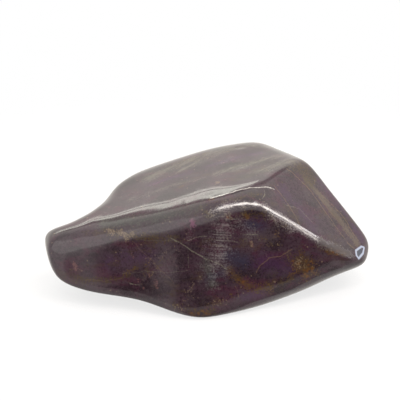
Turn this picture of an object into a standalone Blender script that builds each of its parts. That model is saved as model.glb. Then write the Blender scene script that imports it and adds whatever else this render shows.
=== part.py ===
"""Polished purpurite freeform, one piece of stone lying on its flat base. Metres, +Z up.

The stone is a block ground to a few flats that round over into each other, with three shallow
hollows left between them, and a gentle hand-ground waviness over all but the base.
"""
import math

import bmesh
import bpy
import numpy as np

# Driving dimensions: the block that the stone is ground from
LENGTH, DEPTH, HEIGHT = 0.0905, 0.0560, 0.0335
# Heart of the stone, from which each flat is set off
HEART = np.array([0.0, 0.0, 0.015])
# Half the length of the level line inside the stone from which its skin is reached
SPINE_REACH = 0.024

# Each flat: name, direction it faces (0 is the front, 90 the right), tilt up, distance from the
# heart, and how far it rounds over into the flats before it
FLATS = [
    ("base", 0, -90, 0.0150, 0.0),
    ("top_right", -90, 88, 0.0178, 0.0040),
    ("top_left", -80, 73, 0.0165, 0.0060),
    ("tongue_top", -52, 68, 0.0175, 0.0045),
    ("back_right", 128, 17, 0.0344, 0.0070),
    ("back", -163, 11, 0.0263, 0.0080),
    ("left_end", -78, -13, 0.0435, 0.0080),
    ("front_left", -11, 18, 0.0169, 0.0045),
    ("front_right", 15, 13, 0.0177, 0.0050),
    ("brow_left", -22, 45, 0.0181, 0.0020),
    ("brow_right", 15, 62, 0.0202, 0.0020),
    ("slope", 50, 46, 0.0230, 0.0020),
    ("right_tip", 81, -15, 0.0451, 0.0045),
    ("under_right", 27, -31, 0.0248, 0.0030),
    ("belly_right", 90, -74, 0.0197, 0.0040),
    ("belly_left", -90, -71, 0.0214, 0.0050),
]
# Each hollow is the dip that a round bar would leave: ends of the bar, its radius, its round-over
HOLLOWS = [
    ("back_dip", (-0.057, 0.043, 0.050), (-0.053, 0.038, 0.0), 0.0393, 0.005),
    ("tongue_dip", (-0.0395, 0.0055, 0.045), (-0.047, 0.0205, 0.0), 0.0147, 0.005),
    ("front_arch", (-0.026, -0.040, -0.045), (-0.026, -0.010, -0.045), 0.0487, 0.005),
]
# Each wave of the ground surface: direction, tilt, length from crest to crest, height, start angle
WAVES = [
    (70, 10, 0.021, 0.00010, 20),
    (-35, 25, 0.017, 0.00008, 140),
    (15, -50, 0.026, 0.00010, 250),
]
# The waves fade out between these heights, so the base stays flat
WAVE_FREE, WAVE_FULL = 0.001, 0.006

# Faces along each side of the block that is drawn onto the stone's surface
CELLS_X, CELLS_Y, CELLS_Z = 46, 26, 16
RELAX_ROUNDS = 40
# How much more a point on a crest draws its neighbours than one on a flat does
CREST_PULL = 6.0
# Points this near the base plane lie in it
FLAT_TOLERANCE = 0.00002

STONE_COLOUR = (0.055, 0.034, 0.048, 1.0)
STONE_ROUGHNESS = 0.15


def direction(azimuth, elevation):
    """Unit vector that faces an azimuth, from the front, and an elevation."""
    a = math.radians(azimuth)
    e = math.radians(elevation)
    return np.array([math.sin(a) * math.cos(e), -math.cos(a) * math.cos(e), math.sin(e)])


def round_over(a, b, width):
    """The higher of two heights, with the crease between them rounded over a width."""
    near = np.clip(1.0 - np.abs(a - b) / width, 0.0, 1.0)
    return np.maximum(a, b) + near ** 3 * width / 6.0


def inside_bar(points, start, end, radius):
    """How deep points lie inside a round-ended bar, positive inside."""
    start = np.array(start)
    along = np.array(end) - start
    share = np.clip((points - start) @ along / (along @ along), 0.0, 1.0)
    return radius - np.linalg.norm(points - start - share[:, None] * along, axis=1)


def waviness(points):
    """Height of the ground surface's waves at points, none at the base."""
    height = np.zeros(len(points))
    for azimuth, elevation, length, rise, start in WAVES:
        phase = points @ direction(azimuth, elevation) * (2.0 * math.pi / length)
        height += rise * np.sin(phase + math.radians(start))
    grow = np.clip((points[:, 2] - WAVE_FREE) / (WAVE_FULL - WAVE_FREE), 0.0, 1.0)
    return height * grow * grow * (3.0 - 2.0 * grow)


def outside(points):
    """Distance of points from the stone's skin, positive outside and negative inside."""
    away = None
    for name, azimuth, elevation, distance, width in FLATS:
        flat = (points - HEART) @ direction(azimuth, elevation) - distance
        away = flat if away is None else round_over(away, flat, width)
    for name, start, end, radius, width in HOLLOWS:
        away = round_over(away, inside_bar(points, start, end, radius), width)
    return away - waviness(points)


def slope_of(points, step=0.00001):
    """Direction in which points leave the stone fastest, as long as the distance grows."""
    slope = np.empty_like(points)
    for axis in range(3):
        shift = np.zeros(3)
        shift[axis] = step
        slope[:, axis] = (outside(points + shift) - outside(points - shift)) / (2.0 * step)
    return slope


def draw_to_skin(points, rounds=6):
    """Move points near the skin onto it, each along its own slope."""
    for _ in range(rounds):
        slope = slope_of(points)
        points = points - slope * (outside(points) / (slope * slope).sum(axis=1))[:, None]
    return points


def cast_from_spine(points, rounds=30):
    """Reach the skin from the line inside the stone, through each point of the block."""
    start = np.tile(HEART, (len(points), 1))
    start[:, 0] = points[:, 0] * (2.0 * SPINE_REACH / LENGTH)
    near = np.zeros(len(points))
    far = np.full(len(points), 2.0)
    for _ in range(rounds):
        middle = (near + far) / 2.0
        is_out = outside(start + (points - start) * middle[:, None]) > 0.0
        far = np.where(is_out, middle, far)
        near = np.where(is_out, near, middle)
    return start + (points - start) * near[:, None]


def relax(points, edges, rounds):
    """Even out the faces: each point moves toward its neighbours, most toward those on a crest."""
    for _ in range(rounds):
        facing = slope_of(points)
        facing /= np.linalg.norm(facing, axis=1)[:, None]
        turn = np.linalg.norm(facing[edges[:, 0]] - facing[edges[:, 1]], axis=1)
        bend = np.zeros(len(points))
        np.maximum.at(bend, edges[:, 0], turn)
        np.maximum.at(bend, edges[:, 1], turn)
        pull = 1.0 + CREST_PULL * bend
        total = np.zeros_like(points)
        weight = np.zeros(len(points))
        for here, there in ((0, 1), (1, 0)):
            np.add.at(total, edges[:, here], points[edges[:, there]] * pull[edges[:, there], None])
            np.add.at(weight, edges[:, here], pull[edges[:, there]])
        points = draw_to_skin((points + total / weight[:, None]) / 2.0, rounds=2)
    return draw_to_skin(points)


def divided_block():
    """A box of the stone's size whose sides are divided into even faces."""
    bm = bmesh.new()
    bmesh.ops.create_cube(bm, size=1.0)
    bmesh.ops.scale(bm, vec=(LENGTH, DEPTH, HEIGHT), verts=bm.verts)
    bmesh.ops.translate(bm, vec=(0.0, 0.0, HEIGHT / 2.0), verts=bm.verts)
    for axis, cells in enumerate((CELLS_X, CELLS_Y, CELLS_Z)):
        along = []
        for edge in bm.edges:
            run = edge.verts[1].co - edge.verts[0].co
            if abs(run[axis]) > 0.5 * run.length:
                along.append(edge)
        bmesh.ops.subdivide_edges(bm, edges=along, cuts=cells - 1, use_grid_fill=True)
    return bm


def stone_material():
    material = bpy.data.materials.new("purpurite")
    material.use_nodes = True
    shader = material.node_tree.nodes["Principled BSDF"]
    shader.inputs["Base Color"].default_value = STONE_COLOUR
    shader.inputs["Roughness"].default_value = STONE_ROUGHNESS
    shader.inputs["Metallic"].default_value = 0.0
    material.diffuse_color = STONE_COLOUR
    return material


def make_stone():
    bm = divided_block()
    bm.verts.index_update()
    block = np.array([vertex.co[:] for vertex in bm.verts])
    edges = np.array([[vertex.index for vertex in edge.verts] for edge in bm.edges])
    skin = relax(cast_from_spine(block), edges, RELAX_ROUNDS)
    skin[np.abs(skin[:, 2]) < FLAT_TOLERANCE, 2] = 0.0
    low, high = skin.min(axis=0), skin.max(axis=0)
    skin[:, :2] -= ((low + high) / 2.0)[:2]
    for vertex, place in zip(bm.verts, skin):
        vertex.co = place
    bmesh.ops.recalc_face_normals(bm, faces=bm.faces)
    bmesh.ops.triangulate(bm, faces=bm.faces, quad_method="SHORT_EDGE")
    mesh = bpy.data.meshes.new("stone")
    bm.to_mesh(mesh)
    bm.free()
    mesh.shade_smooth()
    mesh.materials.append(stone_material())
    stone = bpy.data.objects.new("stone", mesh)
    bpy.context.scene.collection.objects.link(stone)
    return stone


def main():
    for leftover in list(bpy.data.objects):
        bpy.data.objects.remove(leftover, do_unlink=True)
    make_stone()


main()
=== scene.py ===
"""The polished purpurite freeform on a pale floor, in a light tent that is dark toward the camera.

The CAD solid gives the shape. A merged and subdivided copy of it gets the fine relief of the ground
surface, and a material for the purple body, its brown and gold matrix, veins, wear and scratches,
with painted highlights on the crest and the ridge and a painted reflection at the pointed end.
"""
import math

import bpy
import numpy as np
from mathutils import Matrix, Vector
from mathutils.bvhtree import BVHTree


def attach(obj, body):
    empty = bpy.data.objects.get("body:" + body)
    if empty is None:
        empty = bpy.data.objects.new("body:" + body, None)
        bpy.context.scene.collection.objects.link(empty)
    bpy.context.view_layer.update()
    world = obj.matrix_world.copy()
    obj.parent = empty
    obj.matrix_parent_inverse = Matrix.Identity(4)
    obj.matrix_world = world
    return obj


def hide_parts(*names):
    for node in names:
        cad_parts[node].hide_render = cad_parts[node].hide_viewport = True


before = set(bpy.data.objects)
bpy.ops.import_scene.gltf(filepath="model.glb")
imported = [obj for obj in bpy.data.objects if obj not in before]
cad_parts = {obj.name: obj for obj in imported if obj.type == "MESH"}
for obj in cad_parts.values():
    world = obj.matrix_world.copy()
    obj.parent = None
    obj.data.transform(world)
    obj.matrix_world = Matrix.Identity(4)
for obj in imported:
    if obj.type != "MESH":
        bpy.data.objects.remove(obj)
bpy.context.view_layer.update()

# Camera of the photograph
PHOTO_SIDE = 400
CAMERA_TILT = 25.0
LENS_MM = 100.0
SENSOR_MM = 36.0
CLIP_NEAR, CLIP_FAR = 0.01, 20.0
METRES_PER_PIXEL = 0.00028
# A point inside the stone, and the pixel of the photograph where it lies
STONE_HEART = Vector((-0.00047, -0.00701, 0.0150))
HEART_PIXEL = (206, 235)

# Floor, a disc that fades out between two distances from its middle
FLOOR_RADIUS = 0.16
FLOOR_CORNERS = 96
FLOOR_FADE_START, FLOOR_FADE_END = 0.08, 0.1568
FLOOR_COLOUR = (0.90, 0.90, 0.90, 1.0)
FLOOR_ROUGHNESS = 0.9
# How much the floor covers of the background in its middle
FLOOR_COVER = 0.26

# Brightness of the background that the camera sees, and of the tent all round
BACKGROUND = 1.0
TENT = 0.82
# Brightness behind the stone: near the horizon, higher up, and in the gap over the boxes
BACK_LOW, BACK_MIDDLE, BACK_GAP = 1.50, 1.15, 0.60
# Glow added behind the stone, from just below the boxes upward
BACK_GLOW = 0.3
# Brightness below the horizon and on the right side, as shares of the rest
UNDER = 0.68
RIGHT_SIDE = 0.80
# Where these set in and are full, in parts of the unit vector toward the tent
BACK_FADE = (0.0, 0.5)
GAP_FADE = (0.42, 0.52)
RIGHT_FADE = (0.4, 0.8)
BACK_MIDDLE_FADE = (0.10, 0.50)
GLOW_FADE = (0.40, 0.52)
UNDER_FADE = (0.0, -0.25)
# Elevations between which the gap over the boxes opens, and between which it closes
GAP_OPENS = (41.0, 44.0)
GAP_CLOSES = (51.0, 56.0)
# The dark part toward the camera: its middle, how far to the sides it is full and where it ends, the
# same upward, and the share of the light that it takes away
DARK_AZIMUTH = 17.0
DARK_START, DARK_END = 38.0, 50.0
DARK_FULL, DARK_TOP = 9.0, 21.0
DARK_SHARE = 0.97
TENT_COLOUR = (1.0, 0.965, 0.945, 1.0)
BACK_COLOUR = (1.0, 0.972, 0.900, 1.0)
PLAIN_WHITE = (1.0, 1.0, 1.0, 1.0)

# All lamps face one point from the same distance
LAMP_DISTANCE = 0.5
LAMP_AIM = Vector((0.0, 0.0, 0.02))
WARM_WHITE = (1.0, 0.98, 0.94)
ROSE_WHITE = (1.0, 0.95, 0.93)
BAND_WHITE = (0.985, 1.0, 0.885)
# Lamps: name, azimuth, elevation, width, height, brightness, colour
LAMPS = [
    ("box_low", -155, 35.7, 0.44, 0.020, 2.4, BAND_WHITE),
    ("box_high", -155, 40.1, 0.44, 0.033, 2.7, BAND_WHITE),
    ("left_box", -52, 30.0, 0.40, 0.28, 0.50, WARM_WHITE),
    ("ring_first", -13, 57.0, 0.12, 0.10, 8.0, ROSE_WHITE),
    ("ring_second", 27, 66.0, 0.18, 0.13, 8.0, ROSE_WHITE),
    ("ring_third", 67, 53.0, 0.18, 0.13, 8.0, ROSE_WHITE),
    ("ring_fourth", 84, 33.0, 0.13, 0.11, 8.0, ROSE_WHITE),
    ("ring_fifth", 66, 23.0, 0.10, 0.05, 4.0, ROSE_WHITE),
]

# Refraction of purpurite
STONE_IOR = 1.75

# Surface copy of the solid
MERGE_DISTANCE = 0.000002
FINER_LEVELS = 2

# The form of the solid, by which the copy's finer points are set: the same values as the solid's
HEART = np.array([0.0, 0.0, 0.015])
# Middle of the form's plan, which is the origin of the solid
PLAN_MIDDLE = np.array([0.00047, 0.00701, 0.0])
# Each flat: name, direction it faces (0 is the front, 90 the right), tilt up, distance from the
# heart, and how far it rounds over into the flats before it
FLATS = [
    ("base", 0, -90, 0.0150, 0.0),
    ("top_right", -90, 88, 0.0178, 0.0040),
    ("top_left", -80, 73, 0.0165, 0.0060),
    ("tongue_top", -52, 68, 0.0175, 0.0045),
    ("back_right", 128, 17, 0.0344, 0.0070),
    ("back", -163, 11, 0.0263, 0.0080),
    ("left_end", -78, -13, 0.0435, 0.0080),
    ("front_left", -11, 18, 0.0169, 0.0045),
    ("front_right", 15, 13, 0.0177, 0.0050),
    ("brow_left", -22, 45, 0.0181, 0.0020),
    ("brow_right", 15, 62, 0.0202, 0.0020),
    ("slope", 50, 46, 0.0230, 0.0020),
    ("right_tip", 81, -15, 0.0451, 0.0045),
    ("under_right", 27, -31, 0.0248, 0.0030),
    ("belly_right", 90, -74, 0.0197, 0.0040),
    ("belly_left", -90, -71, 0.0214, 0.0050),
]
# Each hollow is the dip that a round bar would leave: ends of the bar, its radius, its round-over
HOLLOWS = [
    ("back_dip", (-0.057, 0.043, 0.050), (-0.053, 0.038, 0.0), 0.0393, 0.005),
    ("tongue_dip", (-0.0395, 0.0055, 0.045), (-0.047, 0.0205, 0.0), 0.0147, 0.005),
    ("front_arch", (-0.026, -0.040, -0.045), (-0.026, -0.010, -0.045), 0.0487, 0.005),
]
# Each wave of the ground surface: direction, tilt, length from crest to crest, height, start angle
WAVES = [
    (70, 10, 0.021, 0.00010, 20),
    (-35, 25, 0.017, 0.00008, 140),
    (15, -50, 0.026, 0.00010, 250),
]
# The waves fade out between these heights, so the base stays flat
WAVE_FREE, WAVE_FULL = 0.001, 0.006
# Points this near the base plane lie in it
FLAT_TOLERANCE = 0.00002


# Camera

tilt = math.radians(CAMERA_TILT)
camera_forward = Vector((0.0, math.cos(tilt), -math.sin(tilt)))
camera_up = Vector((0.0, math.sin(tilt), math.cos(tilt)))
camera_right = Vector((1.0, 0.0, 0.0))
# How far in front of the lens the picture stands, in its own pixels
picture_distance = PHOTO_SIDE * LENS_MM / SENSOR_MM


def camera_place():
    """Where the camera stands, so that the heart of the stone falls on its pixel."""
    middle = PHOTO_SIDE / 2
    aim = STONE_HEART + camera_right * (middle - HEART_PIXEL[0]) * METRES_PER_PIXEL
    aim = aim + camera_up * (HEART_PIXEL[1] - middle) * METRES_PER_PIXEL
    return aim - camera_forward * picture_distance * METRES_PER_PIXEL


def make_camera():
    lens = bpy.data.cameras.new("photo_camera")
    lens.lens = LENS_MM
    lens.sensor_width = SENSOR_MM
    lens.clip_start = CLIP_NEAR
    lens.clip_end = CLIP_FAR
    camera = bpy.data.objects.new("photo_camera", lens)
    bpy.context.scene.collection.objects.link(camera)
    camera.location = camera_place()
    camera.rotation_euler = (math.radians(90.0 - CAMERA_TILT), 0.0, 0.0)
    bpy.context.scene.camera = camera


# Small helpers for node trees

def feed(tree, socket, value):
    """Link a socket to another, or set its own value."""
    if isinstance(value, bpy.types.NodeSocket):
        tree.links.new(value, socket)
    else:
        socket.default_value = value


def maths(tree, operation, *values):
    node = tree.nodes.new("ShaderNodeMath")
    node.operation = operation
    for socket, value in zip(node.inputs, values):
        feed(tree, socket, value)
    return node.outputs[0]


def product(tree, result, *others):
    """Several values multiplied one after another."""
    for value in others:
        result = maths(tree, "MULTIPLY", result, value)
    return result


def total(tree, result, *others):
    """Several values added one after another."""
    for value in others:
        result = maths(tree, "ADD", result, value)
    return result


def rest_of(tree, share):
    """What a share leaves of the whole."""
    return maths(tree, "SUBTRACT", 1.0, share)


def vectors(tree, operation, *values):
    node = tree.nodes.new("ShaderNodeVectorMath")
    node.operation = operation
    for socket, value in zip(node.inputs, values):
        feed(tree, socket, value)
    gives_number = operation in ("DOT_PRODUCT", "LENGTH")
    return node.outputs["Value"] if gives_number else node.outputs["Vector"]


def turned(tree, position, turn, stretch):
    """A position turned, then multiplied along each axis."""
    node = tree.nodes.new("ShaderNodeMapping")
    feed(tree, node.inputs["Vector"], position)
    node.inputs["Rotation"].default_value = turn
    return vectors(tree, "MULTIPLY", node.outputs[0], stretch)


def fade(tree, value, start, end, low=0.0, high=1.0):
    """Smooth step from low at start to high at end."""
    node = tree.nodes.new("ShaderNodeMapRange")
    node.interpolation_type = "SMOOTHSTEP"
    names = ("Value", "From Min", "From Max", "To Min", "To Max")
    for name, given in zip(names, (value, start, end, low, high)):
        feed(tree, node.inputs[name], given)
    return node.outputs["Result"]


# Where a mix node of colours has its two colours, and its result
MIX_FIRST, MIX_SECOND, MIX_RESULT = 6, 7, 2


def mixed(tree, share, first, second):
    """Colour between two, by share."""
    node = tree.nodes.new("ShaderNodeMix")
    node.data_type = "RGBA"
    feed(tree, node.inputs[0], share)
    feed(tree, node.inputs[MIX_FIRST], first)
    feed(tree, node.inputs[MIX_SECOND], second)
    return node.outputs[MIX_RESULT]


def new_group(name, inputs, outputs):
    """An empty shader group, its sockets given as names with their types."""
    group = bpy.data.node_groups.new(name, "ShaderNodeTree")
    for socket_name, kind in inputs.items():
        group.interface.new_socket(socket_name, in_out="INPUT", socket_type=kind)
    for socket_name, kind in outputs.items():
        group.interface.new_socket(socket_name, in_out="OUTPUT", socket_type=kind)
    start = group.nodes.new("NodeGroupInput")
    end = group.nodes.new("NodeGroupOutput")
    return group, start.outputs, end.inputs


def placed(tree, group, **values):
    """Put a group into a tree, with a value for each socket by name."""
    node = tree.nodes.new("ShaderNodeGroup")
    node.node_tree = group
    for name, value in values.items():
        feed(tree, node.inputs[name], value)
    return node


NUMBER = "NodeSocketFloat"
VECTOR = "NodeSocketVector"
# How much depth counts against width, so that a straight vein follows a bent surface
VEIN_DEPTH = 0.1
# Share of a vein's width inside which it is at its full strength
VEIN_CORE = 0.3
# Part of a grain's cell that it fills: fully, and at most
GRAIN_CORE, GRAIN_EDGE = 0.35, 0.62
# Softness of the choice of rich grains
GRAIN_CHOICE = 0.05


def vein_group():
    """One straight run of a thin vein: 1 in it, 0 outside its width and beyond its ends."""
    sockets = {"Position": VECTOR, "Start": VECTOR, "Along": VECTOR, "Across": VECTOR}
    sockets.update({"Length": NUMBER, "Width": NUMBER})
    group, given, out = new_group("thin vein", sockets, {"Mask": NUMBER})
    away = vectors(group, "SUBTRACT", given["Position"], given["Start"])
    along = vectors(group, "DOT_PRODUCT", away, given["Along"])
    across = vectors(group, "DOT_PRODUCT", away, given["Across"])
    into = vectors(group, "CROSS_PRODUCT", given["Along"], given["Across"])
    depth = maths(group, "MULTIPLY", vectors(group, "DOT_PRODUCT", away, into), VEIN_DEPTH)
    before = maths(group, "MULTIPLY", along, -1.0)
    past = maths(group, "MAXIMUM", before, maths(group, "SUBTRACT", along, given["Length"]))
    past = maths(group, "MAXIMUM", past, 0.0)
    join = group.nodes.new("ShaderNodeCombineXYZ")
    for socket, value in zip(join.inputs, (across, past, depth)):
        feed(group, socket, value)
    reach = maths(group, "DIVIDE", vectors(group, "LENGTH", join.outputs[0]), given["Width"])
    feed(group, out["Mask"], fade(group, reach, 1.0, VEIN_CORE))
    return group


def grains_group():
    """Mineral grains: which are rich, their tone, and the dark seams between them."""
    sockets = {"Position": VECTOR, "Grain": NUMBER, "Share": NUMBER}
    results = {"Grains": NUMBER, "Tone": NUMBER, "Seams": NUMBER}
    group, given, out = new_group("mineral grains", sockets, results)
    cells = group.nodes.new("ShaderNodeTexVoronoi")
    cells.feature = "F1"
    feed(group, cells.inputs["Vector"], given["Position"])
    feed(group, cells.inputs["Scale"], given["Grain"])
    parts = group.nodes.new("ShaderNodeSeparateColor")
    feed(group, parts.inputs[0], cells.outputs["Color"])
    limit = rest_of(group, given["Share"])
    rich = fade(group, parts.outputs[0], limit, maths(group, "ADD", limit, GRAIN_CHOICE))
    inside = fade(group, cells.outputs["Distance"], GRAIN_EDGE, GRAIN_CORE)
    feed(group, out["Grains"], maths(group, "MULTIPLY", rich, inside))
    feed(group, out["Tone"], parts.outputs[1])
    feed(group, out["Seams"], rest_of(group, inside))
    return group


# Form of the stone

def direction(azimuth, elevation):
    """Unit vector that faces an azimuth, from the front, and an elevation."""
    a = math.radians(azimuth)
    e = math.radians(elevation)
    return np.array([math.sin(a) * math.cos(e), -math.cos(a) * math.cos(e), math.sin(e)])


def round_over(a, b, width):
    """The higher of two heights, with the crease between them rounded over a width."""
    near = np.clip(1.0 - np.abs(a - b) / width, 0.0, 1.0)
    return np.maximum(a, b) + near ** 3 * width / 6.0


def inside_bar(points, start, end, radius):
    """How deep points lie inside a round-ended bar, positive inside."""
    start = np.array(start)
    along = np.array(end) - start
    share = np.clip((points - start) @ along / (along @ along), 0.0, 1.0)
    return radius - np.linalg.norm(points - start - share[:, None] * along, axis=1)


def waviness(points):
    """Height of the ground surface's waves at points, none at the base."""
    height = np.zeros(len(points))
    for azimuth, elevation, length, rise, start in WAVES:
        phase = points @ direction(azimuth, elevation) * (2.0 * math.pi / length)
        height += rise * np.sin(phase + math.radians(start))
    grow = np.clip((points[:, 2] - WAVE_FREE) / (WAVE_FULL - WAVE_FREE), 0.0, 1.0)
    return height * grow * grow * (3.0 - 2.0 * grow)


def outside(points):
    """Distance of points from the stone's skin, positive outside and negative inside."""
    away = None
    for _, azimuth, elevation, distance, width in FLATS:
        flat = (points - HEART) @ direction(azimuth, elevation) - distance
        away = flat if away is None else round_over(away, flat, width)
    for _, start, end, radius, width in HOLLOWS:
        away = round_over(away, inside_bar(points, start, end, radius), width)
    return away - waviness(points)


def slope_of(points, step=0.00001):
    """Direction in which points leave the stone fastest, as long as the distance grows."""
    slope = np.empty_like(points)
    for axis in range(3):
        shift = np.zeros(3)
        shift[axis] = step
        slope[:, axis] = (outside(points + shift) - outside(points - shift)) / (2.0 * step)
    return slope


def draw_to_skin(points, rounds=6):
    """Move points near the skin onto it, each along its own slope."""
    for _ in range(rounds):
        slope = slope_of(points)
        points = points - slope * (outside(points) / (slope * slope).sum(axis=1))[:, None]
    return points


# Stone surface

def copy_of_solid():
    """The CAD solid's surface, merged, in four-sided faces and made finer."""
    bpy.ops.object.select_all(action="DESELECT")
    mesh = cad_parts["stone"].data.copy()
    mesh.name = "polished_stone"
    mesh.materials.clear()
    stone = bpy.data.objects.new("polished_stone", mesh)
    bpy.context.scene.collection.objects.link(stone)
    stone.select_set(True)
    bpy.context.view_layer.objects.active = stone
    bpy.ops.mesh.customdata_custom_splitnormals_clear()
    bpy.ops.object.mode_set(mode="EDIT")
    bpy.ops.mesh.select_all(action="SELECT")
    bpy.ops.mesh.remove_doubles(threshold=MERGE_DISTANCE)
    bpy.ops.mesh.tris_convert_to_quads()
    bpy.ops.mesh.normals_make_consistent(inside=False)
    bpy.ops.object.mode_set(mode="OBJECT")
    finer = stone.modifiers.new("finer_faces", "SUBSURF")
    finer.levels = FINER_LEVELS
    finer.render_levels = FINER_LEVELS
    bpy.ops.object.modifier_apply(modifier=finer.name)
    bpy.ops.object.shade_smooth()
    set_vertices(mesh, on_form(vertex_array(mesh)))
    return stone


def on_form(places):
    """Draw points near the solid's surface onto the exact form."""
    points = draw_to_skin(places + PLAN_MIDDLE)
    points[points[:, 2] < FLAT_TOLERANCE, 2] = 0.0
    return points - PLAN_MIDDLE


def set_vertices(mesh, places):
    mesh.vertices.foreach_set("co", places.astype(np.float32).ravel())
    mesh.update()


def vertex_array(mesh):
    places = np.empty(len(mesh.vertices) * 3, dtype=np.float32)
    mesh.vertices.foreach_get("co", places)
    return places.reshape(-1, 3).astype(float)


def surface_finder(stone):
    """Function that gives the point and the facing of the stone at a pixel of the photograph."""
    mesh = stone.data
    corners = [vertex.co for vertex in mesh.vertices]
    faces = [face.vertices[:] for face in mesh.polygons]
    tree = BVHTree.FromPolygons(corners, faces)
    eye = camera_place()

    def find(pixel):
        middle = PHOTO_SIDE / 2
        ray = camera_forward * picture_distance
        ray = ray + camera_right * (pixel[0] - middle)
        ray = ray - camera_up * (pixel[1] - middle)
        place, facing, _, _ = tree.ray_cast(eye, ray.normalized())
        if place is None:
            raise ValueError(f"no stone at pixel {pixel}")
        return place, facing

    return find


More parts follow.
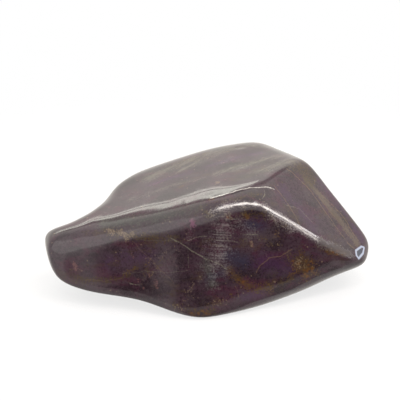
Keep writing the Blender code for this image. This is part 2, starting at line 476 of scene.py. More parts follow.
# Marks on the stone, each laid along pixels of the photograph: name, kind, half width, how densely
# its grains lie, pixels
MARKS = [
    ("olive_band", "olive", 0.0018, 0.75, [(106, 231), (128, 236), (150, 238), (176, 239)]),
    ("olive_under_crest", "olive", 0.0022, 0.60, [(205, 213), (225, 214), (262, 214), (285, 224)]),
    ("olive_over_crest", "olive", 0.0014, 0.65, [(205, 205), (235, 198), (262, 194)]),
    ("olive_round_gold", "olive", 0.0042, 0.70, [(299, 260), (307, 272)]),
    ("olive_low_run", "olive", 0.0014, 0.70, [(256, 290), (276, 285), (296, 277)]),
    ("olive_foot", "olive", 0.0022, 0.65, [(176, 305), (192, 312), (214, 312)]),
    ("olive_mid_left", "olive", 0.0018, 0.60, [(136, 268), (152, 270), (166, 262)]),
    ("olive_low_left", "olive", 0.0012, 0.75, [(76, 279), (104, 281), (128, 277)]),
    ("olive_below_fleck", "olive", 0.0020, 0.50, [(228, 240), (262, 238), (276, 246)]),
    ("olive_upper_right", "olive", 0.0034, 0.90, [(301, 167), (309, 180)]),
    ("brown_streak", "brown", 0.0017, 1.00, [(306, 180), (325, 201), (343, 224), (357, 243)]),
    ("brown_streak_inner", "brown", 0.0010, 0.70, [(300, 184), (318, 206), (340, 234)]),
    ("brown_top_end", "brown", 0.0018, 0.60, [(288, 172), (300, 168)]),
    ("olive_near_tip", "olive", 0.0016, 0.80, [(318, 243), (332, 250), (347, 255)]),
    ("ochre_band", "ochre", 0.0019, 0.80, [(231, 271), (240, 280), (250, 287), (268, 290)]),
    ("ochre_round_gold", "ochre", 0.0036, 0.45, [(301, 262), (307, 271)]),
    ("ochre_foot", "ochre", 0.0011, 0.60, [(214, 305), (222, 300), (233, 296)]),
    ("ochre_bit_low", "ochre", 0.0008, 0.80, [(290, 275), (298, 272)]),
    ("ochre_bit_left", "ochre", 0.0009, 0.60, [(123, 274), (140, 268), (150, 262)]),
    ("ochre_over_crest", "ochre", 0.0007, 0.80, [(209, 200), (214, 199)]),
    ("ochre_bit_right", "ochre", 0.0009, 0.60, [(276, 232), (282, 240)]),
    ("ochre_streak", "ochre", 0.0010, 0.40, [(307, 186), (328, 210), (346, 232)]),
    ("gold_cluster", "gold", 0.0034, 1.00, [(302, 263), (307, 270)]),
    ("gold_in_band", "gold", 0.0010, 0.85, [(240, 279), (246, 284)]),
    ("rust_foot", "gold", 0.0014, 1.00, [(194, 314), (206, 314)]),
    ("rust_bit_crest", "gold", 0.0008, 1.00, [(228, 216), (231, 218)]),
    ("rust_bit_ridge", "gold", 0.0008, 1.00, [(245, 216), (248, 218)]),
    ("rust_near_tip", "gold", 0.0012, 0.90, [(328, 251), (344, 254)]),
    ("cream_blob_first", "cream", 0.0008, 0.95, [(108, 230), (113, 233)]),
    ("cream_blob_second", "cream", 0.0010, 0.95, [(120, 232), (127, 238)]),
    ("cream_blob_third", "cream", 0.0007, 0.75, [(130, 232), (133, 234)]),
    ("cream_foot", "cream", 0.0024, 0.42, [(178, 310), (184, 302), (190, 287)]),
    ("cream_foot_low", "cream", 0.0010, 0.70, [(178, 306), (184, 311)]),
    ("cream_middle", "cream", 0.0011, 0.55, [(149, 258), (152, 264), (156, 271)]),
    ("cream_specks_middle", "cream", 0.0034, 0.30, [(152, 256), (176, 250)]),
    ("cream_specks_right", "cream", 0.0030, 0.26, [(262, 238), (290, 250)]),
    ("cream_specks_low", "cream", 0.0024, 0.34, [(200, 282), (212, 268), (220, 262)]),
    ("cream_in_gold", "cream", 0.0030, 0.44, [(300, 262), (308, 271)]),
    ("cream_on_shoulder", "cream", 0.0009, 0.45, [(168, 217), (171, 222)]),
    ("cream_lower_middle", "cream", 0.0011, 0.52, [(214, 303), (222, 299), (231, 301)]),
    ("pink_left", "pink", 0.0007, 0.95, [(74, 263), (76, 269)]),
    ("pink_upper", "pink", 0.0008, 0.70, [(132, 254), (134, 258)]),
    ("pink_lower", "pink", 0.0007, 0.75, [(138, 279), (139, 283)]),
    ("pink_lowest", "pink", 0.0006, 0.75, [(143, 287), (144, 289)]),
    ("pink_middle", "pink", 0.0008, 0.75, [(156, 281), (157, 287)]),
    ("pink_fleck", "pink", 0.0006, 1.00, [(251, 242), (252, 246)]),
    ("pink_run", "pink", 0.0009, 0.50, [(149, 262), (149, 276)]),
    ("magenta_spot", "magenta", 0.0010, 1.00, [(192, 222), (193, 226)]),
    ("magenta_run", "magenta", 0.0014, 0.50, [(192, 228), (191, 240)]),
    ("magenta_slope", "magenta", 0.0040, 0.42, [(296, 205), (306, 214)]),
    ("magenta_arch", "magenta", 0.0015, 0.50, [(158, 282), (162, 292)]),
    ("magenta_top", "magenta", 0.0018, 0.55, [(204, 170), (236, 160), (262, 154)]),
    ("magenta_top_left", "magenta", 0.0022, 0.50, [(146, 187), (170, 178), (190, 172)]),
    ("smoke_left", "smoke", 0.0060, 0.95, [(128, 258), (166, 264)]),
    ("smoke_ridge", "smoke", 0.0048, 0.95, [(208, 268), (218, 262)]),
    ("smoke_right", "smoke", 0.0045, 0.95, [(246, 244), (268, 232)]),
    ("smoke_left_edge", "smoke", 0.0009, 0.90, [(92, 283), (108, 284), (126, 282)]),
    ("smoke_near_tip", "smoke", 0.0030, 0.85, [(322, 258), (340, 262)]),
    ("violet_top", "violet", 0.0018, 0.90, [(206, 167), (235, 158), (262, 152)]),
    ("violet_top_left", "violet", 0.0022, 0.90, [(150, 184), (190, 172)]),
    ("navy_ridge", "navy", 0.0042, 0.90, [(229, 256), (243, 262)]),
    ("navy_upper", "navy", 0.0034, 0.90, [(250, 224), (262, 226)]),
    ("navy_low", "navy", 0.0034, 0.80, [(208, 278), (222, 272)]),
    ("violet_right", "violet", 0.0050, 0.90, [(262, 262), (290, 268)]),
    ("violet_edge", "violet", 0.0022, 0.90, [(318, 180), (345, 212), (362, 240)]),
    ("violet_left", "violet", 0.0050, 0.80, [(110, 262), (150, 256)]),
    ("violet_slope", "violet", 0.0046, 0.85, [(282, 190), (298, 206), (314, 226)]),
    ("violet_foot", "violet", 0.0030, 0.90, [(246, 297), (262, 295)]),
    ("grey_shoulder", "grey", 0.0036, 0.95, [(104, 224), (150, 218), (200, 206)]),
    ("grey_ridge_low", "grey", 0.0026, 0.90, [(206, 262), (212, 284)]),
    # Pale wear on the crest and scratches on the ridge, partly painted highlight
    ("worn_crest_and_highlight", "wear", 0.0014, 1.00,
     [(214, 211), (220, 208.5), (228, 206), (240, 204), (255, 203), (268, 208)]),
    ("worn_crest_right_and_highlight", "wear", 0.0012, 1.00,
     [(268, 208), (280, 214), (295, 226), (310, 236), (318, 241)]),
    ("worn_under_crest_and_highlight", "wear", 0.0026, 0.90, [(272, 216), (283, 222), (293, 229)]),
    ("scratched_ridge_and_highlight", "scratch", 0.0046, 0.95, [(226, 212), (222, 236), (217, 266)]),
    ("scratched_ridge_low_and_highlight", "scratch", 0.0030, 0.80, [(217, 266), (213, 282)]),
    ("scratched_ridge_right_and_highlight", "scratch", 0.0034, 0.80, [(240, 222), (252, 236)]),
    ("scratched_left_and_highlight", "scratch", 0.0020, 0.70, [(192, 230), (190, 244)]),
    ("dull_near_tip", "dull", 0.0018, 1.00, [(320, 242), (334, 248), (350, 254)]),
    ("olive_dull_tip", "olive", 0.0014, 0.90, [(322, 243), (334, 249), (348, 254)]),
    ("pale_top_first", "pale", 0.0026, 0.95, [(180, 171), (200, 161), (222, 151)]),
    ("pale_top_second", "pale", 0.0024, 0.95, [(216, 174), (233, 168), (256, 162), (280, 156)]),
    ("pale_top_third", "pale", 0.0036, 0.95, [(258, 172), (280, 164), (292, 160)]),
    ("pale_top_low", "pale", 0.0026, 0.75, [(130, 200), (170, 186), (204, 178)]),
    ("pale_top_rim", "pale", 0.0042, 0.95, [(150, 177), (190, 160), (228, 149)]),
    ("pale_top_fourth", "pale", 0.0024, 0.85, [(235, 149), (250, 145), (268, 147)]),
    ("gold_top_first", "gold", 0.0006, 1.00, [(177, 168), (180, 168)]),
    ("gold_top_second", "gold", 0.0006, 1.00, [(186, 160), (189, 159)]),
    ("gold_top_third", "ochre", 0.0006, 1.00, [(203, 154), (206, 153)]),
    ("gold_top_fourth", "cream", 0.0005, 1.00, [(217, 182), (218, 183)]),
    ("gold_top_fifth", "ochre", 0.0006, 0.90, [(180, 187), (183, 186)]),
]
KINDS = sorted({kind for _, kind, _, _, _ in MARKS})

# Thin veins, single scratches and the crest's painted highlight lines: name, kind, half width, how
# strongly each shows, pixels
VEINS = [
    ("pale_vein", "pale", 0.00024, 0.62,
     [(171, 238), (183, 245), (193, 251), (206, 259), (218, 263), (227, 269)]),
    # The next three runs are painted highlights along the crest
    ("crest_highlight_line", "highlight_line", 0.00022, 0.85,
     [(211, 198), (222, 195), (235, 191), (247, 188), (258, 187), (268, 187), (274, 189)]),
    ("crest_highlight", "highlight_line", 0.00042, 0.80,
     [(218, 209), (228, 206), (240, 204.5), (252, 203.3), (260, 205), (268, 208.5)]),
    ("crest_highlight_right", "highlight_line", 0.00030, 0.60,
     [(268, 208.5), (280, 215.5), (290, 222), (300, 228.5), (310, 235), (317, 240)]),
    ("pale_branch", "pale", 0.00014, 0.20, [(188, 250), (189, 268)]),
    ("pale_upper_run", "pale", 0.00015, 0.40, [(189, 241), (196, 237), (207, 236)]),
    ("left_hairline", "pale", 0.00012, 0.28, [(122, 274), (146, 271.5), (168, 272.5), (188, 270)]),
    ("second_hairline", "pale", 0.00012, 0.20, [(136, 240), (160, 241), (176, 240)]),
    ("short_white", "pale", 0.00016, 0.80, [(130, 284), (139, 285)]),
    ("ridge_scratch", "pale", 0.00013, 0.60, [(240, 234), (258, 235)]),
    ("ridge_scratch_low", "pale", 0.00012, 0.50, [(216, 240), (238, 242)]),
    ("crest_branch", "pale", 0.00014, 0.70, [(263, 189), (265, 196), (262, 199)]),
    ("falling_line", "tan", 0.00012, 0.40, [(132, 241), (145, 254), (160, 270), (174, 282)]),
    ("tan_fleck", "cream", 0.00050, 0.90, [(251, 242.5), (251.5, 246)]),
    ("tan_vein", "tan", 0.00020, 0.62, [(256, 273), (260, 266), (270, 258), (281, 256), (292, 249)]),
    ("tan_spur", "tan", 0.00016, 0.55, [(235, 286), (239, 297)]),
    ("tan_fan", "tan", 0.00014, 0.50, [(270, 290), (279, 284)]),
    ("hairline_slope", "tan", 0.00016, 0.65, [(274, 185), (291, 208), (300, 225)]),
    ("hairline_slope_pale", "pale", 0.00012, 0.45, [(286, 205), (300, 209), (312, 222)]),
    ("streak_line", "tan", 0.00020, 0.70,
     [(287, 169), (298, 178), (310, 190), (322, 207), (348, 243), (354, 248)]),
    ("streak_line_middle", "tan", 0.00016, 0.55, [(318, 196), (334, 216), (350, 238)]),
    ("streak_line_outer", "tan", 0.00020, 0.70, [(322, 195), (342, 215), (358, 241)]),
    ("left_low_line", "tan", 0.00014, 0.40, [(86, 280), (104, 281), (122, 278)]),
]

# How far veins and fine patterns wander off their line
VEIN_WOBBLE = 0.0011
# Parts into which each straight piece of a run is cut
RUN_PARTS = 4
# How patterns are turned and stretched: along the stone's grain, for the streaks of the top and for
# the nearly level scratches
GRAIN_STRETCH = (0.55, 1.0, 1.0)
STREAK_TURN = (0.0, 0.0, math.radians(-42.0))
STREAK_STRETCH = (90.0, 750.0, 300.0)
SCRATCH_TURN = (0.0, math.radians(-4.0), 0.0)
SCRATCH_STRETCH = (75.0, 10.0, 3000.0)

# A painted reflection at the pointed end, a pale bluish ring round a darker middle
TIP_REFLECTION_RING = [(356, 250.5), (361.5, 246.5), (364, 247.5), (363.2, 253), (358.8, 258.5), (356.6, 255.5)]
TIP_REFLECTION_RING_WIDTH = 0.00044
TIP_REFLECTION_MIDDLE = [(360.5, 250), (359, 254)]
TIP_REFLECTION_MIDDLE_WIDTH = 0.0011

# Relief of the hand-ground surface: name, half width, height, pixels
RELIEF = [
    ("crest_round", 0.0021, -0.00019, [(96, 226), (110, 221), (150, 211), (184, 202.5)]),
    ("crest_round_right", 0.0021, -0.00011, [(196, 199.5), (210, 196), (240, 188), (252, 185)]),
    ("tongue_rise", 0.0044, 0.00036, [(87, 217), (93, 213.5), (98, 210)]),
    ("top_rise_first", 0.0017, 0.00007, [(184, 169), (200, 161), (217, 153)]),
    ("top_rise_second", 0.0021, 0.00005, [(220, 173), (233, 168), (256, 162), (272, 158)]),
    ("top_rise_third", 0.0024, 0.00006, [(258, 172), (280, 166), (292, 160)]),
    ("top_rise_fourth", 0.0017, 0.00004, [(206, 169), (220, 162)]),
    ("top_dip_first", 0.0020, -0.00004, [(196, 173), (216, 164), (240, 157), (262, 151)]),
    ("top_pit", 0.0007, -0.00012, [(238, 148), (243, 147)]),
    ("slope_dip", 0.0040, -0.00010, [(296, 196), (318, 226)]),
    ("front_dip_left", 0.0045, -0.00012, [(112, 262), (150, 266)]),
    ("front_dip_right", 0.0045, -0.00010, [(262, 248), (286, 268)]),
    ("ridge_rise", 0.0030, 0.00008, [(224, 222), (220, 262)]),
    ("under_edge", 0.0009, 0.00012, [(245, 302), (267, 297), (292, 289), (317, 275.5), (342, 267)]),
    ("tip_chip", 0.0009, -0.00018, [(360, 250), (359, 254)]),
]

# Paints: linear colours of the body, of the painted reflection at the tip and of each kind of mark
PAINTS = {
    "plum": (0.056, 0.028, 0.042, 1.0),
    "dark_plum": (0.026, 0.014, 0.020, 1.0),
    "wine": (0.066, 0.020, 0.038, 1.0),
    "smoke_cloud": (0.064, 0.048, 0.054, 1.0),
    # Painted reflection at the pointed end: its pale bluish ring and its darker middle
    "tip_reflection_ring": (0.41, 0.46, 0.58, 1.0),
    "tip_reflection_middle": (0.055, 0.065, 0.090, 1.0),
    "olive": (0.056, 0.036, 0.018, 1.0),
    "ochre": (0.096, 0.052, 0.018, 1.0),
    "gold": (0.140, 0.056, 0.015, 1.0),
    "cream": (0.200, 0.142, 0.096, 1.0),
    "pink": (0.170, 0.082, 0.078, 1.0),
    "magenta": (0.170, 0.050, 0.105, 1.0),
    "navy": (0.038, 0.034, 0.060, 1.0),
    "violet": (0.066, 0.027, 0.068, 1.0),
    "brown": (0.125, 0.092, 0.066, 1.0),
    "smoke": (0.094, 0.066, 0.076, 1.0),
    "grey": (0.058, 0.064, 0.054, 1.0),
    "pale": (0.200, 0.185, 0.140, 1.0),
    "tan": (0.170, 0.105, 0.062, 1.0),
    # Painted highlight colour of the bright lines along the crest
    "highlight_line": (0.640, 0.600, 0.560, 1.0),
    # Pale colour of wear, laid partly as a painted highlight on the crest and the ridge
    "wear": (0.360, 0.320, 0.310, 1.0),
}

# Noise: the place where it is read, features per metre, detail, roughness, any distortion
NOISES = {
    "edges_coarse": ("plain", 420.0, 3.0, 0.6),
    "edges_fine": ("plain", 2300.0, 2.0, 0.6),
    "wander": ("plain", 420.0, 3.0, 0.5),
    "clouds": ("drawn", 150.0, 5.0, 0.6),
    "wine": ("drawn", 230.0, 4.0, 0.5, 0.6),
    "smoke": ("drawn", 310.0, 6.0, 0.7),
    "mottle": ("plain", 1300.0, 4.0, 0.75),
    "tiny": ("bent", 2700.0, 2.0, 0.7),
    "scatter": ("drawn", 170.0, 6.0, 0.75),
    "fibres": ("streaks", 1.0, 4.0, 0.65),
    "gold_behind": ("plain", 120.0, 5.0, 0.7),
    "veins_behind": ("plain", 75.0, 3.0, 0.5),
    "veined_areas": ("plain", 55.0, 1.0, 0.5),
    "lines": ("scratches", 1.0, 3.0, 0.65),
    "chips": ("plain", 3600.0, 2.0, 0.6),
    "polish": ("plain", 700.0, 3.0, 0.5),
    "swell": ("plain", 160.0, 2.0, 0.5),
    "grain": ("plain", 1600.0, 3.0, 0.5),
}
NOISE_MIDDLE = 0.5
# Share of the finer noise in ragged edges
EDGES_FINE_SHARE = 0.6
# Steps: value at which each starts and ends, and what it gives there if not 0 and 1
STEPS = {
    "clouds": (0.36, 0.62),
    "wine": (0.48, 0.66),
    "smoke": (0.50, 0.68),
    "smoky_mottle": (0.47, 0.66, 0.0, 0.50),
    "dark_mottle": (0.51, 0.36, 0.0, 0.80),
    "olive_dust": (0.60, 0.72, 0.0, 0.50),
    "uneven": (0.40, 0.62, 0.25, 0.90),
    "scatter": (0.54, 0.64),
    "scatter_behind": (0.50, 0.57),
    "ochre_tone": (0.0, 1.0, 0.25, 0.90),
    "dust_tone": (0.0, 1.0, 0.25, 0.95),
    "fibres": (0.34, 0.66, 0.35, 1.0),
    "gold_behind": (0.54, 0.62),
    "veins_behind": (0.0060, 0.0015),
    "veined_areas": (0.46, 0.56),
    "broken_vein": (0.36, 0.54, 0.2, 1.0),
    "lines": (0.50, 0.60),
    # Haze of painted highlight over the ridge's scratches
    "highlight_haze": (0.40, 0.66, 0.05, 0.60),
    "chips": (0.42, 0.62),
    "polish": (0.3, 0.7, 0.06, 0.11),
    # Depths between which the made-up marks of the unseen sides set in
    "behind": (0.012, 0.020),
}
# Marks show where their density and the noise together pass this
MARK_LIMIT = 0.5
# Edges of marks: how ragged and how soft
EDGES = {
    "brown": (1.6, 0.5), "smoke": (2.2, 0.5), "grey": (1.2, 0.5), "navy": (1.2, 0.5),
    "violet": (1.4, 0.5), "magenta": (2.0, 0.5), "dull": (1.4, 0.5), "olive": (3.0, 0.25),
    "ochre": (2.6, 0.25), "gold": (1.6, 0.25), "cream": (3.2, 0.25), "pink": (1.8, 0.25),
    "pale": (0.9, 0.6), "grey_specks": (2.0, 0.25), "scratch": (1.8, 0.6), "wear": (1.4, 0.45),
}
# Grains: how many per metre, and the share of them that is rich
GRAINS = {"fine": (2300.0, 0.42), "coarse": (950.0, 0.72), "dust": (1900.0, 0.035)}
# Broad tints, in the order in which they are laid, and how much each covers
TINTS = {"brown": 0.80, "smoke": 0.55, "grey": 0.65, "navy": 0.75, "violet": 0.65, "magenta": 0.80}
# How much the other paints cover
WINE_COVER, SMOKE_COVER = 0.90, 0.60
SCATTER_SHARE, OLIVE_COVER, SPECKS_COVER = 0.50, 0.75, 0.50
RIMS_COVER, GOLD_COVER = 0.35, 0.85
PALE_COVER, DULL_COVER, GREY_SPECKS_COVER = 0.60, 0.65, 0.14
GOLD_BEHIND_COVER, VEINS_BEHIND_COVER = 0.70, 0.70
# Covers of the ridge's scratches with their painted highlight haze, and of the crest's pale frost
SCRATCH_AND_HIGHLIGHT_COVER, FROST_AND_HIGHLIGHT_COVER = 0.45, 0.55
# What each kind of mark adds to the roughness
ROUGHER = {"wear": 0.11, "olive": 0.06, "scratch": 0.10, "dull": 0.45}
# Heights of the fine relief
SWELL_HEIGHT, GRAIN_HEIGHT = 0.000030, 0.0000004
CHIP_HEIGHT, SCRATCH_HEIGHT, DULL_HEIGHT = 0.000008, 0.000022, 0.00010


# Marks and relief along pixels of the photograph

def distance_to_run(places, corners):
    """Distance of places from a run of straight pieces."""
    nearest = np.full(len(places), np.inf)
    for first, last in zip(corners[:-1], corners[1:]):
        along = last - first
        share = np.clip((places - first) @ along / (along @ along), 0.0, 1.0)
        away = np.linalg.norm(places - first - share[:, None] * along, axis=1)
        nearest = np.minimum(nearest, away)
    return nearest


def run_on_stone(find, pixels):
    """The run's corners, found on the surface, with some between for a bent surface."""
    corners = []
    for first, last in zip(pixels[:-1], pixels[1:]):
        for part in range(RUN_PARTS):
            share = part / RUN_PARTS
            between = [a + (b - a) * share for a, b in zip(first, last)]
            corners.append(np.array(find(between)[0]))
    corners.append(np.array(find(pixels[-1])[0]))
    return corners


def add_relief(stone, find):
    """Raise and sink the surface along the relief's runs."""
    mesh = stone.data
    places = vertex_array(mesh)
    facings = slope_of(places + PLAN_MIDDLE)
    facings /= np.linalg.norm(facings, axis=1)[:, None]
    rise = np.zeros(len(places))
    for _, half_width, height, pixels in RELIEF:
        away = distance_to_run(places, run_on_stone(find, pixels))
        rise += height * np.exp(-(away / half_width) ** 2)
    set_vertices(mesh, places + facings * rise[:, None])


def add_marks(stone, find):
    """One attribute for each kind of mark: its density on the run, half of it at the half width."""
    mesh = stone.data
    places = vertex_array(mesh)
    for kind in KINDS:
        strength = np.zeros(len(places))
        for _, its_kind, half_width, density, pixels in MARKS:
            if its_kind == kind:
                away = distance_to_run(places, run_on_stone(find, pixels))
                strength = np.maximum(strength, density * (1.0 - away / (2.0 * half_width)))
        mark = mesh.attributes.new("mark_" + kind, "FLOAT", "POINT")
        mark.data.foreach_set("value", np.clip(strength, 0.0, 1.0).astype(np.float32))


# Material

class Painter:
    """Builds the stone's colour by laying one paint over another."""

    def __init__(self, tree, find):
        self.tree = tree
        self.find = find
        self.colour = PAINTS["dark_plum"]
        self.vein = vein_group()
        self.noises = {}
        self.marks = {}
        plain = tree.nodes.new("ShaderNodeTexCoord").outputs["Object"]
        self.places = {
            "plain": plain,
            "drawn": vectors(tree, "MULTIPLY", plain, GRAIN_STRETCH),
            "streaks": turned(tree, plain, STREAK_TURN, STREAK_STRETCH),
            "scratches": turned(tree, plain, SCRATCH_TURN, SCRATCH_STRETCH),
        }
        away = vectors(tree, "SUBTRACT", self.noise("wander", "Color"), (NOISE_MIDDLE,) * 3)
        away = vectors(tree, "MULTIPLY", away, (VEIN_WOBBLE,) * 3)
        self.places["bent"] = vectors(tree, "ADD", plain, away)
        coarse = product(tree, self.noise("edges_coarse"), 1.0 - EDGES_FINE_SHARE)
        fine = product(tree, self.noise("edges_fine"), EDGES_FINE_SHARE)
        self.ragged = total(tree, coarse, fine)
        parts = tree.nodes.new("ShaderNodeSeparateXYZ")
        feed(tree, parts.inputs[0], plain)
        self.behind = self.step("behind", parts.outputs["Y"])
        group = grains_group()
        self.grains = {}
        for name, (per_metre, share) in GRAINS.items():
            node = placed(tree, group, Position=self.places["bent"], Grain=per_metre, Share=share)
            self.grains[name] = node.outputs

    def noise(self, name, result="Fac"):
        """One of the named noises, made when it is first asked for."""
        if name not in self.noises:
            place, *values = NOISES[name]
            node = self.tree.nodes.new("ShaderNodeTexNoise")
            feed(self.tree, node.inputs["Vector"], self.places[place])
            for socket, value in zip(("Scale", "Detail", "Roughness", "Distortion"), values):
                node.inputs[socket].default_value = value
            self.noises[name] = node
        return self.noises[name].outputs[result]

    def step(self, name, value=None):
        """One of the named steps, of the noise of the same name unless another value is given."""
        value = self.noise(name) if value is None else value
        return fade(self.tree, value, *STEPS[name])

    def mark(self, kind, edge=None):
        """Mask of a kind of mark, with an edge broken up by noise."""
        edge = edge or kind
        if edge not in self.marks:
            raggedness, softness = EDGES[edge]
            tree = self.tree
            node = tree.nodes.new("ShaderNodeAttribute")
            node.attribute_name = "mark_" + kind
            uneven = maths(tree, "SUBTRACT", self.ragged, NOISE_MIDDLE)
            level = total(tree, node.outputs["Fac"], product(tree, uneven, raggedness))
            self.marks[edge] = fade(tree, level, MARK_LIMIT, MARK_LIMIT + softness)
        return self.marks[edge]

    def olive(self):
        """Mask of the olive ground, with scattered patches, more of them behind."""
        if "olive_ground" not in self.marks:
            tree = self.tree
            more = product(tree, self.step("scatter_behind", self.noise("scatter")), self.behind)
            scattered = maths(tree, "MAXIMUM", self.step("scatter"), more)
            scattered = product(tree, scattered, SCATTER_SHARE)
            self.marks["olive_ground"] = maths(tree, "MAXIMUM", self.mark("olive"), scattered)
        return self.marks["olive_ground"]

    def run(self, pixels, half_width, steady=False):
        """Mask of a thin run along pixels of the photograph, wandering a little unless steady."""
        tree = self.tree
        place = self.places["plain" if steady else "bent"]
        mask = None
        spots = [self.find(pixel) for pixel in pixels]
        for (first, facing), (last, _) in zip(spots[:-1], spots[1:]):
            along = (last - first).normalized()
            across = facing.cross(along).normalized()
            piece = placed(tree, self.vein, Position=place, Start=first, Along=along, Across=across,
                           Length=(last - first).length, Width=half_width)
            piece = piece.outputs["Mask"]
            mask = piece if mask is None else maths(tree, "MAXIMUM", mask, piece)
        return mask

    def lay(self, paint, *shares):
        """Lay a paint, by name or as a colour, over what is there, by the product of the shares."""
        paint = PAINTS[paint] if isinstance(paint, str) else paint
        self.colour = mixed(self.tree, product(self.tree, *shares), self.colour, paint)


def paint_body(painter):
    """Plum over dark plum, with wine and smoke in clouds, a fine mottle and an olive dust."""
    painter.lay("plum", painter.step("clouds"))
    painter.lay("wine", painter.step("wine"), WINE_COVER)
    painter.lay("smoke_cloud", painter.step("smoke"), SMOKE_COVER)
    painter.lay("smoke_cloud", painter.step("smoky_mottle", painter.noise("mottle")))
    painter.lay("dark_plum", painter.step("dark_mottle", painter.noise("mottle")))
    painter.lay("olive", painter.step("olive_dust", painter.noise("tiny")))
    for kind, cover in TINTS.items():
        painter.lay(kind, painter.mark(kind), cover)


def paint_matrix(painter, gold_colour):
    """Olive ground with ochre, gold, cream and pink grains, and the pale streaks of the top."""
    fine, coarse = painter.grains["fine"], painter.grains["coarse"]
    painter.lay("olive", painter.olive(), OLIVE_COVER)
    painter.lay("ochre", painter.olive(), fine["Grains"], SPECKS_COVER)
    painter.lay("ochre", painter.mark("ochre"), painter.step("ochre_tone", fine["Tone"]))
    painter.lay("ochre", painter.mark("gold"), coarse["Seams"], RIMS_COVER)
    painter.lay(gold_colour, painter.mark("gold"), coarse["Grains"], GOLD_COVER)
    uneven = painter.step("uneven", painter.noise("tiny"))
    for kind in ("cream", "pink"):
        painter.lay(kind, painter.mark(kind), uneven)
    painter.lay("pale", painter.mark("pale"), PALE_COVER, painter.step("fibres"))
    painter.lay("dark_plum", painter.mark("dull"), DULL_COVER)


def paint_specks(painter):
    """Single pale grains in the grey places, and cream ones all over."""
    fine, dust = painter.grains["fine"], painter.grains["dust"]
    specks = painter.mark("grey", edge="grey_specks")
    painter.lay("pale", specks, fine["Grains"], GREY_SPECKS_COVER)
    painter.lay("cream", dust["Grains"], painter.step("dust_tone", dust["Tone"]))


def paint_unseen_sides(painter, gold_colour):
    """Gold grains and fine veins on the sides that the photograph doesn't show."""
    tree = painter.tree
    grains = painter.grains["coarse"]["Grains"]
    painter.lay(gold_colour, painter.step("gold_behind"), painter.behind, grains, GOLD_BEHIND_COVER)
    off_middle = maths(tree, "SUBTRACT", painter.noise("veins_behind"), NOISE_MIDDLE)
    crossing = painter.step("veins_behind", maths(tree, "ABSOLUTE", off_middle))
    areas = painter.step("veined_areas")
    painter.lay("tan", crossing, areas, painter.behind, VEINS_BEHIND_COVER)


def paint_veins(painter):
    """Thin veins, single scratches and the crest's painted highlight lines, along their runs, broken
    here and there.
    """
    broken = painter.step("broken_vein", painter.ragged)
    for _, kind, half_width, cover, pixels in VEINS:
        painter.lay(kind, painter.run(pixels, half_width), cover, broken)


def paint_wear_and_highlights(painter):
    """Scratches with a painted highlight haze on the ridge, and a worn crest painted pale partly as
    highlight.
    """
    # The haze is a painted highlight laid over the ridge's scratch lines
    highlight_haze = painter.step("highlight_haze", painter.ragged)
    scratches = maths(painter.tree, "MAXIMUM", painter.step("lines"), highlight_haze)
    painter.lay("wear", scratches, painter.mark("scratch"), SCRATCH_AND_HIGHLIGHT_COVER)
    # Pale frost on the worn crest, partly wear and partly a painted highlight
    painter.lay("wear", painter.step("chips"), painter.mark("wear"), FROST_AND_HIGHLIGHT_COVER)


def paint_tip_reflection(painter):
    """The painted reflection at the pointed end: a pale ring round a darker middle."""
    painter.lay("tip_reflection_middle", painter.run(TIP_REFLECTION_MIDDLE, TIP_REFLECTION_MIDDLE_WIDTH, steady=True))
    painter.lay("tip_reflection_ring", painter.run(TIP_REFLECTION_RING + TIP_REFLECTION_RING[:1], TIP_REFLECTION_RING_WIDTH, steady=True))


def polish(painter):
    """Roughness of the polish, duller where the stone is marked or worn."""
    rough = painter.step("polish")
    for kind, more in ROUGHER.items():
        mask = painter.olive() if kind == "olive" else painter.mark(kind)
        rough = total(painter.tree, rough, product(painter.tree, mask, more))
    return rough


def fine_relief(painter):
    """Facing of the surface with its fine relief, from heights in metres."""
    tree = painter.tree
    swell = product(tree, painter.noise("swell"), SWELL_HEIGHT)
    grain = product(tree, painter.noise("grain"), GRAIN_HEIGHT)
    chips = product(tree, painter.noise("chips"), painter.mark("wear"), CHIP_HEIGHT)
    lines = product(tree, painter.noise("lines"), painter.mark("scratch"), SCRATCH_HEIGHT)
    pits = product(tree, painter.noise("mottle"), painter.mark("dull"), DULL_HEIGHT)
    bump = tree.nodes.new("ShaderNodeBump")
    bump.inputs["Strength"].default_value = 1.0
    bump.inputs["Distance"].default_value = 1.0
    feed(tree, bump.inputs["Height"], total(tree, swell, grain, chips, lines, pits))
    return bump.outputs["Normal"]


def stone_material(find):
    material = bpy.data.materials.new("polished_purpurite")
    material.use_nodes = True
    tree = material.node_tree
    shader = tree.nodes["Principled BSDF"]
    painter = Painter(tree, find)
    tone = painter.grains["coarse"]["Tone"]
    gold_colour = mixed(tree, tone, PAINTS["gold"], PAINTS["ochre"])
    paint_body(painter)
    paint_matrix(painter, gold_colour)
    paint_specks(painter)
    paint_unseen_sides(painter, gold_colour)
    paint_veins(painter)
    paint_wear_and_highlights(painter)
    # Painted reflection at the pointed end
    paint_tip_reflection(painter)
    feed(tree, shader.inputs["Base Color"], painter.colour)
    feed(tree, shader.inputs["Roughness"], polish(painter))
    feed(tree, shader.inputs["Normal"], fine_relief(painter))
    shader.inputs["IOR"].default_value = STONE_IOR
    return material


# Floor, world and lamps

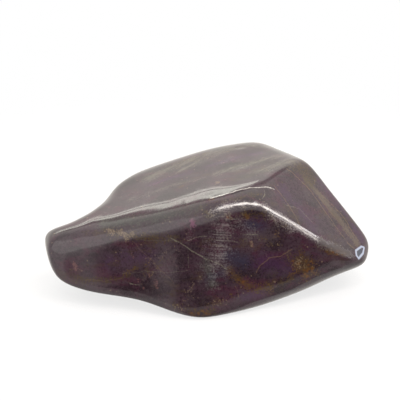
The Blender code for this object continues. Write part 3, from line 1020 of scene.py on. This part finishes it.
def make_floor():
    """A pale disc that lets the background through, most toward its edge."""
    bpy.ops.object.select_all(action="DESELECT")
    bpy.ops.mesh.primitive_circle_add(
        vertices=FLOOR_CORNERS, radius=FLOOR_RADIUS, fill_type="NGON", location=(0, 0, 0))
    floor = bpy.context.object
    floor.name = "floor"
    material = bpy.data.materials.new("pale_floor")
    material.use_nodes = True
    tree = material.node_tree
    shader = tree.nodes["Principled BSDF"]
    shader.inputs["Base Color"].default_value = FLOOR_COLOUR
    shader.inputs["Roughness"].default_value = FLOOR_ROUGHNESS
    shader.inputs["Specular IOR Level"].default_value = 0.0
    position = tree.nodes.new("ShaderNodeTexCoord").outputs["Object"]
    distance = vectors(tree, "LENGTH", position)
    cover = fade(tree, distance, FLOOR_FADE_START, FLOOR_FADE_END, low=FLOOR_COVER, high=0.0)
    feed(tree, shader.inputs["Alpha"], cover)
    floor.data.materials.append(material)


def height_at(elevation):
    """How far up a unit vector reaches at an elevation."""
    return math.sin(math.radians(elevation))


def brightness_behind(tree, height, backward):
    """Brightness of the tent behind the stone, with the gap over the boxes."""
    bright = fade(tree, height, *BACK_MIDDLE_FADE, low=BACK_LOW, high=BACK_MIDDLE)
    bright = total(tree, bright, product(tree, fade(tree, height, *GLOW_FADE), BACK_GLOW))
    opens = fade(tree, height, height_at(GAP_OPENS[0]), height_at(GAP_OPENS[1]))
    closes = fade(tree, height, height_at(GAP_CLOSES[1]), height_at(GAP_CLOSES[0]))
    gap = product(tree, opens, closes, fade(tree, backward, *GAP_FADE))
    gap = product(tree, gap, BACK_MIDDLE + BACK_GLOW - BACK_GAP)
    return maths(tree, "SUBTRACT", bright, gap)


def darkness_in_front(tree, ray, height):
    """How much of the light the dark part takes away, where the front flats mirror it."""
    level_ray = vectors(tree, "NORMALIZE", vectors(tree, "MULTIPLY", ray, (1.0, 1.0, 0.0)))
    toward = vectors(tree, "DOT_PRODUCT", level_ray, Vector(direction(DARK_AZIMUTH, 0)))
    ends = math.cos(math.radians(DARK_END))
    starts = math.cos(math.radians(DARK_START))
    near_middle = fade(tree, toward, ends, starts)
    low = fade(tree, height, height_at(DARK_TOP), height_at(DARK_FULL))
    return product(tree, near_middle, low, DARK_SHARE)


def make_world():
    """White all round, but dark on the camera's side, where the front flats mirror."""
    world = bpy.data.worlds.new("light_tent")
    bpy.context.scene.world = world
    world.use_nodes = True
    tree = world.node_tree
    tree.nodes.clear()
    ray = tree.nodes.new("ShaderNodeTexCoord").outputs["Generated"]
    parts = tree.nodes.new("ShaderNodeSeparateXYZ")
    feed(tree, parts.inputs[0], ray)
    rightward, backward, height = parts.outputs
    back = fade(tree, backward, *BACK_FADE)
    more = maths(tree, "SUBTRACT", brightness_behind(tree, height, backward), TENT)
    bright = total(tree, product(tree, back, more), TENT)
    right = fade(tree, rightward, *RIGHT_FADE, low=1.0, high=RIGHT_SIDE)
    lit = rest_of(tree, darkness_in_front(tree, ray, height))
    below = fade(tree, height, *UNDER_FADE, low=1.0, high=UNDER)
    level = product(tree, bright, right, lit, below)
    seen = tree.nodes.new("ShaderNodeLightPath").outputs["Is Camera Ray"]
    level = product(tree, level, rest_of(tree, seen))
    level = total(tree, level, product(tree, seen, BACKGROUND))
    tent_colour = mixed(tree, back, TENT_COLOUR, BACK_COLOUR)
    background = tree.nodes.new("ShaderNodeBackground")
    feed(tree, background.inputs["Color"], mixed(tree, seen, tent_colour, PLAIN_WHITE))
    feed(tree, background.inputs["Strength"], level)
    end = tree.nodes.new("ShaderNodeOutputWorld")
    tree.links.new(background.outputs[0], end.inputs["Surface"])


def make_lamp(name, azimuth, elevation, wide, high, radiance, colour):
    """Soft lamp in a direction from the stone; azimuth 0 is the camera's side, 90 the right."""
    toward = Vector(direction(azimuth, elevation))
    light = bpy.data.lights.new(name, "AREA")
    light.shape = "RECTANGLE"
    light.size = wide
    light.size_y = high
    light.energy = radiance * math.pi * wide * high
    light.color = colour
    lamp = bpy.data.objects.new(name, light)
    bpy.context.scene.collection.objects.link(lamp)
    lamp.location = toward * LAMP_DISTANCE + LAMP_AIM
    lamp.rotation_euler = (-toward).to_track_quat("-Z", "Y").to_euler()
    lamp.visible_camera = False


make_camera()
make_floor()
make_world()
for lamp_values in LAMPS:
    make_lamp(*lamp_values)

stone = copy_of_solid()
find_on_stone = surface_finder(stone)
add_relief(stone, find_on_stone)
add_marks(stone, find_on_stone)
stone.data.materials.append(stone_material(find_on_stone))
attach(stone, "root")
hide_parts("stone")

bpy.context.scene.view_settings.view_transform = "Standard"
